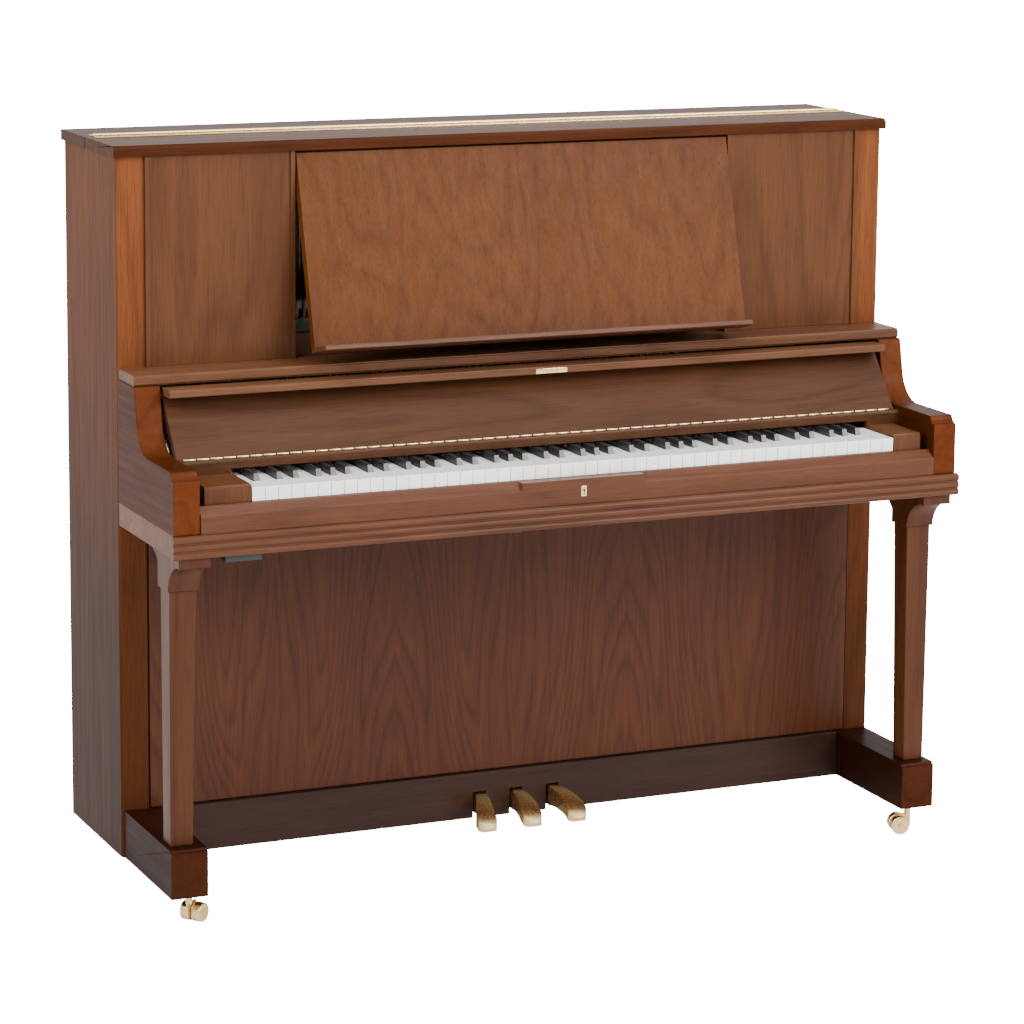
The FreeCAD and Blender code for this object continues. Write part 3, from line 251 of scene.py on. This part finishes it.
def shades(light, dark, tint):
    """The light and the dark of a wood, both seen through one stain."""
    return [tuple(c * t for c, t in zip(colour, tint)) for colour in (light, dark)]


UPRIGHT = ((0.335, 0.168, 0.080), (0.185, 0.080, 0.036))
LONG = ((0.26, 0.120, 0.060), (0.138, 0.057, 0.029))

upright = wood("walnut_upright", *shades(*UPRIGHT, (0.31, 0.223, 0.152)), "z", 0.35, 0.3)
stile_wood = wood("walnut_legs", *shades(*UPRIGHT, (0.23, 0.146, 0.103)), "z", 0.3, 3.3)
# the side panels carry painted light: forward faces lightened, painted shade at the foot turning to
# painted light at the head
sides = wood("walnut_sides", *shades((0.23, 0.118, 0.066), (0.135, 0.066, 0.039),
                                     (0.277, 0.170, 0.104)), "z", 0.3, 5.1, front=1.7,
             painted_height_light=(0.6, 1.7), gloss=0.03)
desk_wood = wood("walnut_desk", *shades((0.37, 0.187, 0.088), (0.215, 0.095, 0.042),
                                        (0.270, 0.160, 0.060)), "z", 0.42, 2.2,
                 gloss=0.06)
knee_wood = wood("walnut_leaves", *shades((0.235, 0.098, 0.048), (0.100, 0.037, 0.019),
                                          (0.318, 0.219, 0.164)), "z", 1.0, 0.0, leaf=0.2313,
                 bands=46)
lengthwise = wood("walnut_lengthwise", *shades(*LONG, (0.480, 0.420, 0.370)), "x", 0.35, 1.4)
edge_wood = wood("walnut_mouldings", *shades(*LONG, (0.380, 0.300, 0.270)), "x", 0.3, 3.7)
fall_wood = wood("walnut_fallboard", *shades((0.215, 0.108, 0.055), (0.105, 0.048, 0.026),
                                             (0.333, 0.244, 0.178)), "x", 0.45, 6.6)
rail_wood = wood("walnut_rail", *shades((0.175, 0.078, 0.042), (0.088, 0.036, 0.021),
                                        (0.180, 0.160, 0.192)), "x", 0.4, 8.2)
# the toe blocks and the arms carry painted light: their forward faces are lightened in colour
deep_wood = wood("walnut_blocks", *shades((0.215, 0.093, 0.046), (0.115, 0.045, 0.023),
                                          (0.100, 0.062, 0.048)), "y", 0.3, 4.4, front=2.2, gloss=0.03)
arm_wood = wood("walnut_arms", *shades((0.215, 0.093, 0.046), (0.115, 0.045, 0.023),
                                       (0.252, 0.144, 0.069)), "y", 0.3, 1.9, front=2.0, gloss=0.04)
top_wood = wood("walnut_lid", *shades((0.24, 0.113, 0.057), (0.13, 0.054, 0.028),
                                      (0.245, 0.140, 0.080)), "x", 0.35, 9.3, gloss=0.05)
pine = wood("pine_frame", (0.62, 0.43, 0.23), (0.42, 0.25, 0.11), "z", 0.3, 7.7,
            roughness=0.55, pores=0.2)
spruce = wood("spruce_board", (0.66, 0.46, 0.24), (0.50, 0.31, 0.14), "x", 0.2, 2.9,
              roughness=0.42, pores=0.15)
beech = wood("beech_action", (0.60, 0.42, 0.25), (0.45, 0.29, 0.15), "z", 0.2, 1.1,
             roughness=0.5, pores=0.3)
bright_brass = brass("brass_polished")
soft_brass = brass("brass_satin", 0.32, (0.72, 0.52, 0.25))
bronze = plain("bronze_iron", (0.55, 0.38, 0.15), 0.38, 0.7, speck=90)
steel = plain("steel_wire", (0.62, 0.62, 0.62), 0.28, 1.0, speck=300, spread=0.08)
bright_steel = plain("bright_steel", (0.75, 0.75, 0.74), 0.16, 1.0, speck=120, spread=0.05)
white_key = plain("key_tops", (0.93, 0.915, 0.88), 0.16, coat=0.5, speck=22, spread=0.02,
                  relief=0.02)
black_key = plain("sharp_tops", (0.012, 0.012, 0.013), 0.33, coat=0.15, speck=160,
                  spread=0.3, relief=0.08)
# hammer and damper felt is kept darker than bare wool, partly as painted shade inside the case
felt = plain("wool_felt", (0.30, 0.28, 0.24), 0.92, speck=420, spread=0.16, relief=0.6)
# the muffler's red felt is darkened much further than its own colour, as painted shade inside the case
red_felt = plain("red_felt", (0.035, 0.010, 0.010), 0.95, speck=500, spread=0.25, relief=0.6)
black_metal = plain("black_spring", (0.02, 0.02, 0.022), 0.42, 0.3, speck=200, spread=0.2)
dark_case = plain("black_box", (0.012, 0.012, 0.013), 0.5, speck=240, spread=0.2)
shade = plain("dark_gap", (0.010, 0.007, 0.005), 0.9, speck=50, spread=0.2)

finish = {
    "side_panel_left": sides, "side_panel_right": sides, "back_frame": pine,
    "bottom_board": pine, "toe_rail": rail_wood, "toe_block_left": deep_wood,
    "toe_block_right": deep_wood, "leg_left": stile_wood, "leg_right": stile_wood,
    "key_bed": lengthwise, "keybed_moulding": edge_wood, "key_slip": edge_wood,
    "key_blocks": upright, "arm_left": arm_wood, "arm_right": arm_wood,
    "music_shelf": lengthwise, "upper_panel": upright, "lid_rear": top_wood,
    "lid_hinge": bright_brass, "lower_panel": knee_wood, "iron_plate": bronze,
    "soundboard": spruce, "pin_block": beech, "strings": steel, "action_frame": bronze,
    "key_frame": beech, "fallboard_base": fall_wood, "lid_front": top_wood,
    "music_desk": desk_wood, "music_desk_ledge": edge_wood, "fallboard_panel": fall_wood,
    "fallboard_lip": lengthwise, "pedal_left": bright_brass, "pedal_middle": bright_brass,
    "pedal_right": bright_brass, "pedal_rod_left": beech, "pedal_rod_right": beech,
    "hammers": felt, "dampers": felt, "muffler_rail": red_felt,
}
for letter in LETTERS:
    finish["key_" + letter] = black_key if "sharp" in letter else white_key
for corner in CORNERS:
    finish["caster_fork_" + corner] = soft_brass
    finish["caster_wheels_" + corner] = bright_brass

SOFT_EDGE = {"side_panel_left": 1.2, "side_panel_right": 1.2, "toe_rail": 1.5,
             "toe_block_left": 2.0, "toe_block_right": 2.0, "leg_left": 2.2,
             "leg_right": 2.2, "key_bed": 1.0, "keybed_moulding": 0.7, "key_slip": 1.6,
             "key_blocks": 1.6, "arm_left": 2.6, "arm_right": 2.6, "music_shelf": 0.8,
             "lid_rear": 2.2, "lid_front": 1.2, "music_desk": 1.6, "music_desk_ledge": 1.4,
             "fallboard_panel": 1.2, "fallboard_lip": 0.8, "lower_panel": 0.8,
             "pedal_left": 2.0, "pedal_middle": 2.0, "pedal_right": 2.0}
for letter in LETTERS:
    SOFT_EDGE["key_" + letter] = 0.9 if "sharp" in letter else 0.7
for corner in CORNERS:
    SOFT_EDGE["caster_wheels_" + corner] = 2.2
    SOFT_EDGE["caster_fork_" + corner] = 0.8


def soften(thing, width, segments=3):
    """Rounds a piece's hard edges, as sanding does."""
    weld = thing.modifiers.new("weld", "WELD")
    weld.merge_threshold = 0.00001
    rounding = thing.modifiers.new("bevel", "BEVEL")
    rounding.width = width * MM
    rounding.segments = segments
    rounding.limit_method = "ANGLE"
    rounding.angle_limit = math.radians(32)
    rounding.harden_normals = False
    rounding.use_clamp_overlap = True


bpy.ops.object.select_all(action="DESELECT")
for name, thing in nodes.items():
    for slot_of in thing.material_slots:
        slot_of.material = finish[name]
    if name in SOFT_EDGE:
        soften(thing, SOFT_EDGE[name])


# ------------------------------------------------------------------ camera, floor, light
def aim(thing, place_at, target):
    thing.location = place_at
    thing.rotation_euler = (Vector(target) - Vector(place_at)).to_track_quat(
        "-Z", "Y").to_euler()


yaw, pitch, roll = (math.radians(angle) for angle in (23.7869, -9.4572, 0.4841))
ahead = Vector((math.sin(yaw) * math.cos(pitch), math.cos(yaw) * math.cos(pitch),
                math.sin(pitch)))
level_right = Vector((math.cos(yaw), -math.sin(yaw), 0))
level_up = level_right.cross(ahead)
right = level_right * math.cos(roll) + level_up * math.sin(roll)
up = level_up * math.cos(roll) - level_right * math.sin(roll)
bpy.ops.object.camera_add(location=(-2.56404, -5.80437, 1.95629))
camera = bpy.context.object
camera.rotation_euler = Matrix((right, up, -ahead)).transposed().to_euler()
camera.data.lens = 3565 * 36 / 1024
camera.data.sensor_width = 36
camera.data.shift_y = -0.15
camera.data.clip_end = 100
bpy.context.scene.camera = camera

# the camera sees a white room; its light on the piano is set apart from that
FLOOR_GLOW, SKY_SEEN, SKY_LIGHT = 20.0, 24.0, 1.3

bpy.ops.mesh.primitive_plane_add(size=60, location=(0, 0, 0))
floor = bpy.context.object
floor.name = "studio_floor"
pale = plain("studio_white", (0.90, 0.90, 0.90), 0.9, speck=2, spread=0.004, relief=0.0)
glow = pale.node_tree.nodes["Principled BSDF"]
glow.inputs["Emission Color"].default_value = (1, 1, 1, 1)
seen = add(pale.node_tree, "ShaderNodeLightPath")
pale.node_tree.links.new(
    math_node(pale.node_tree, "MULTIPLY", seen.outputs["Is Camera Ray"], FLOOR_GLOW),
    glow.inputs["Emission Strength"])
floor.data.materials.append(pale)

world = bpy.data.worlds.new("studio")
bpy.context.scene.world = world
world.use_nodes = True
world.node_tree.nodes["Background"].inputs["Color"].default_value = (1, 1, 1, 1)
sky = world.node_tree.nodes["Background"]
ray = world.node_tree.nodes.new("ShaderNodeLightPath")
strength = math_node(world.node_tree, "ADD", math_node(
    world.node_tree, "MULTIPLY", ray.outputs["Is Camera Ray"], SKY_SEEN), SKY_LIGHT)
world.node_tree.links.new(strength, sky.inputs["Strength"])


def soft_box(name, place_at, target, size, power):
    bpy.ops.object.light_add(type="AREA", location=place_at)
    lamp = bpy.context.object
    lamp.name = name
    lamp.data.shape = "RECTANGLE"
    lamp.data.size, lamp.data.size_y = size
    lamp.data.energy = power
    aim(lamp, place_at, target)


soft_box("key_light", (2.6, -4.6, 3.6), (0.1, 0, 0.7), (3.2, 2.6), 400)
soft_box("fill_light", (-3.8, -1.6, 3.4), (-0.7, 0, 1.2), (2.4, 2.0), 150)
soft_box("top_light", (0, -0.6, 4.4), (0, 0, 0.6), (4.0, 3.0), 75)


# ------------------------------------------------------------------ modelled pieces
def from_box(name, low, high, material, body):
    """A block between two corners, ready to be shaped; all sizes in millimetres."""
    size = [(b - a) * MM for a, b in zip(low, high)]
    bpy.ops.object.select_all(action="DESELECT")
    bpy.ops.mesh.primitive_cube_add(size=1, location=[(a + b) / 2 * MM
                                                      for a, b in zip(low, high)])
    piece = bpy.context.object
    piece.name = name
    piece.scale = size
    bpy.ops.object.transform_apply(location=True, rotation=True, scale=True)
    return dress(piece, material, body)


def dress(piece, material, body):
    piece.data.materials.clear()
    piece.data.materials.append(material)
    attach(piece, body)
    return piece


def apply_bevel(piece, width, segments=3, angle=32):
    rounding = piece.modifiers.new("bevel", "BEVEL")
    rounding.width = width * MM
    rounding.segments = segments
    rounding.limit_method = "ANGLE"
    rounding.angle_limit = math.radians(angle)
    bpy.context.view_layer.objects.active = piece
    piece.select_set(True)
    bpy.ops.object.modifier_apply(modifier="bevel")
    bpy.ops.object.shade_smooth_by_angle(angle=math.radians(40))
    bpy.ops.object.select_all(action="DESELECT")


def face_at(piece, direction):
    """Selects the face that looks most along a direction, in edit mode."""
    bpy.context.view_layer.objects.active = piece
    piece.select_set(True)
    bpy.ops.object.mode_set(mode="EDIT")
    bpy.ops.mesh.select_mode(type="FACE")
    bpy.ops.mesh.select_all(action="DESELECT")
    bpy.ops.object.mode_set(mode="OBJECT")
    way = Vector(direction)
    best = max(piece.data.polygons, key=lambda face: (round(face.normal.dot(way), 3),
                                                      face.center.dot(way)))
    best.select = True
    bpy.ops.object.mode_set(mode="EDIT")


def sink(piece, direction, border, depth):
    """Insets the face that looks along a direction and pushes it in."""
    face_at(piece, direction)
    bpy.ops.mesh.inset(thickness=border * MM, depth=0)
    bpy.ops.transform.translate(value=[-c * depth * MM for c in direction])
    bpy.ops.object.mode_set(mode="OBJECT")


def rod_piece(name, start, end, radius, material, body, sides_count=24):
    """A round bar with eased ends, from one point to another."""
    first, last = (Vector(p) * MM for p in (start, end))
    bpy.ops.object.select_all(action="DESELECT")
    bpy.ops.mesh.primitive_cylinder_add(vertices=sides_count, radius=radius * MM,
                                        depth=(last - first).length,
                                        location=(first + last) / 2)
    piece = bpy.context.object
    piece.name = name
    piece.rotation_euler = (last - first).to_track_quat("Z", "Y").to_euler()
    bpy.ops.object.transform_apply(location=True, rotation=True, scale=True)
    dress(piece, material, body)
    apply_bevel(piece, radius * 0.25, 2, 50)
    return piece


CASE = "case"
FRONT = 3.0       # the case front on Y, in millimetres
LID_SPLIT = 158   # from the case front back to the lid's hinge

# brass leaf of the lid hinge on the turning half
leaf_low, leaf_high = FRONT + LID_SPLIT - 26.2, FRONT + LID_SPLIT - 2.9
leaf = from_box("lid_leaf", (-738.2, leaf_low, 1309.9), (738.2, leaf_high, 1311.4),
                bright_brass, "lid")
apply_bevel(leaf, 0.4, 2)

# lock plate on the lip, with its slot
lip_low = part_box("fallboard_lip")[0]
lip_face = lip_low.y / MM
lip_base = lip_low.z / MM
plate = from_box("lock_plate", (-14.3, lip_face - 0.4, lip_base + 1.7),
                 (46.3, lip_face + 2, lip_base + 10.3),
                 bright_brass, "lip")
apply_bevel(plate, 0.5, 2)
slot_frame = from_box("lock_slot", (4, lip_face - 0.8, lip_base + 4.2),
                      (28, lip_face, lip_base + 7.8),
                      black_metal, "lip")
sink(slot_frame, (0, -1, 0), 0.6, 0.5)

# keyhole plate on the key slip; its hole is a near-black disc and slit of painted shade
slip_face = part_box("key_slip")[0].y / MM
keyhole = from_box("keyhole_plate", (-5.4, slip_face - 0.3, 703.6),
                   (5.4, slip_face + 2, 722.4), bright_brass, CASE)
apply_bevel(keyhole, 3.0, 4, 80)
rod_piece("keyhole_dark", (0, slip_face - 0.7, 715), (0, slip_face + 1, 715), 2.2,
          shade, CASE)
slit = from_box("keyhole_slit", (-1, slip_face - 0.7, 706.5), (1, slip_face + 1, 714), shade,
                CASE)
apply_bevel(slit, 0.4, 2)

# black spring catch and the low box under the key bed
catch = from_box("spring_catch", (-8.4, FRONT - 6.4, 577.6), (16.4, FRONT - 2.6, 648),
                 black_metal, CASE)
apply_bevel(catch, 1.2, 3)
under_box = from_box("black_case", (-652.4, -287.4, 636.6), (-586.6, -226.6, 650),
                     dark_case, CASE)
apply_bevel(under_box, 1.6, 3)

# brass knuckles of the long hinge at the fallboard's foot
knuckle_pitch, knuckle_long, knuckle_count = 24.0, 22.0, 57
start_x = -(knuckle_pitch * (knuckle_count - 1) + knuckle_long) / 2
hinge_y, hinge_z = FRONT - 163, 789
knuckle = rod_piece("fall_knuckles", (start_x, hinge_y, hinge_z),
                    (start_x + knuckle_long, hinge_y, hinge_z), 1.9, bright_brass,
                    "fallboard", 12)
row = knuckle.modifiers.new("row", "ARRAY")
row.use_relative_offset = False
row.use_constant_offset = True
row.constant_offset_displace = (knuckle_pitch * MM, 0, 0)
row.count = knuckle_count
bpy.context.view_layer.objects.active = knuckle
bpy.ops.object.modifier_apply(modifier="row")

# bright stays at both ends of the fallboard
for side, x in (("left", -697), ("right", 697)):
    rod_piece("fall_stay_" + side, (x, -107, 814), (x, -158, 771), 2.1, bright_steel, CASE)
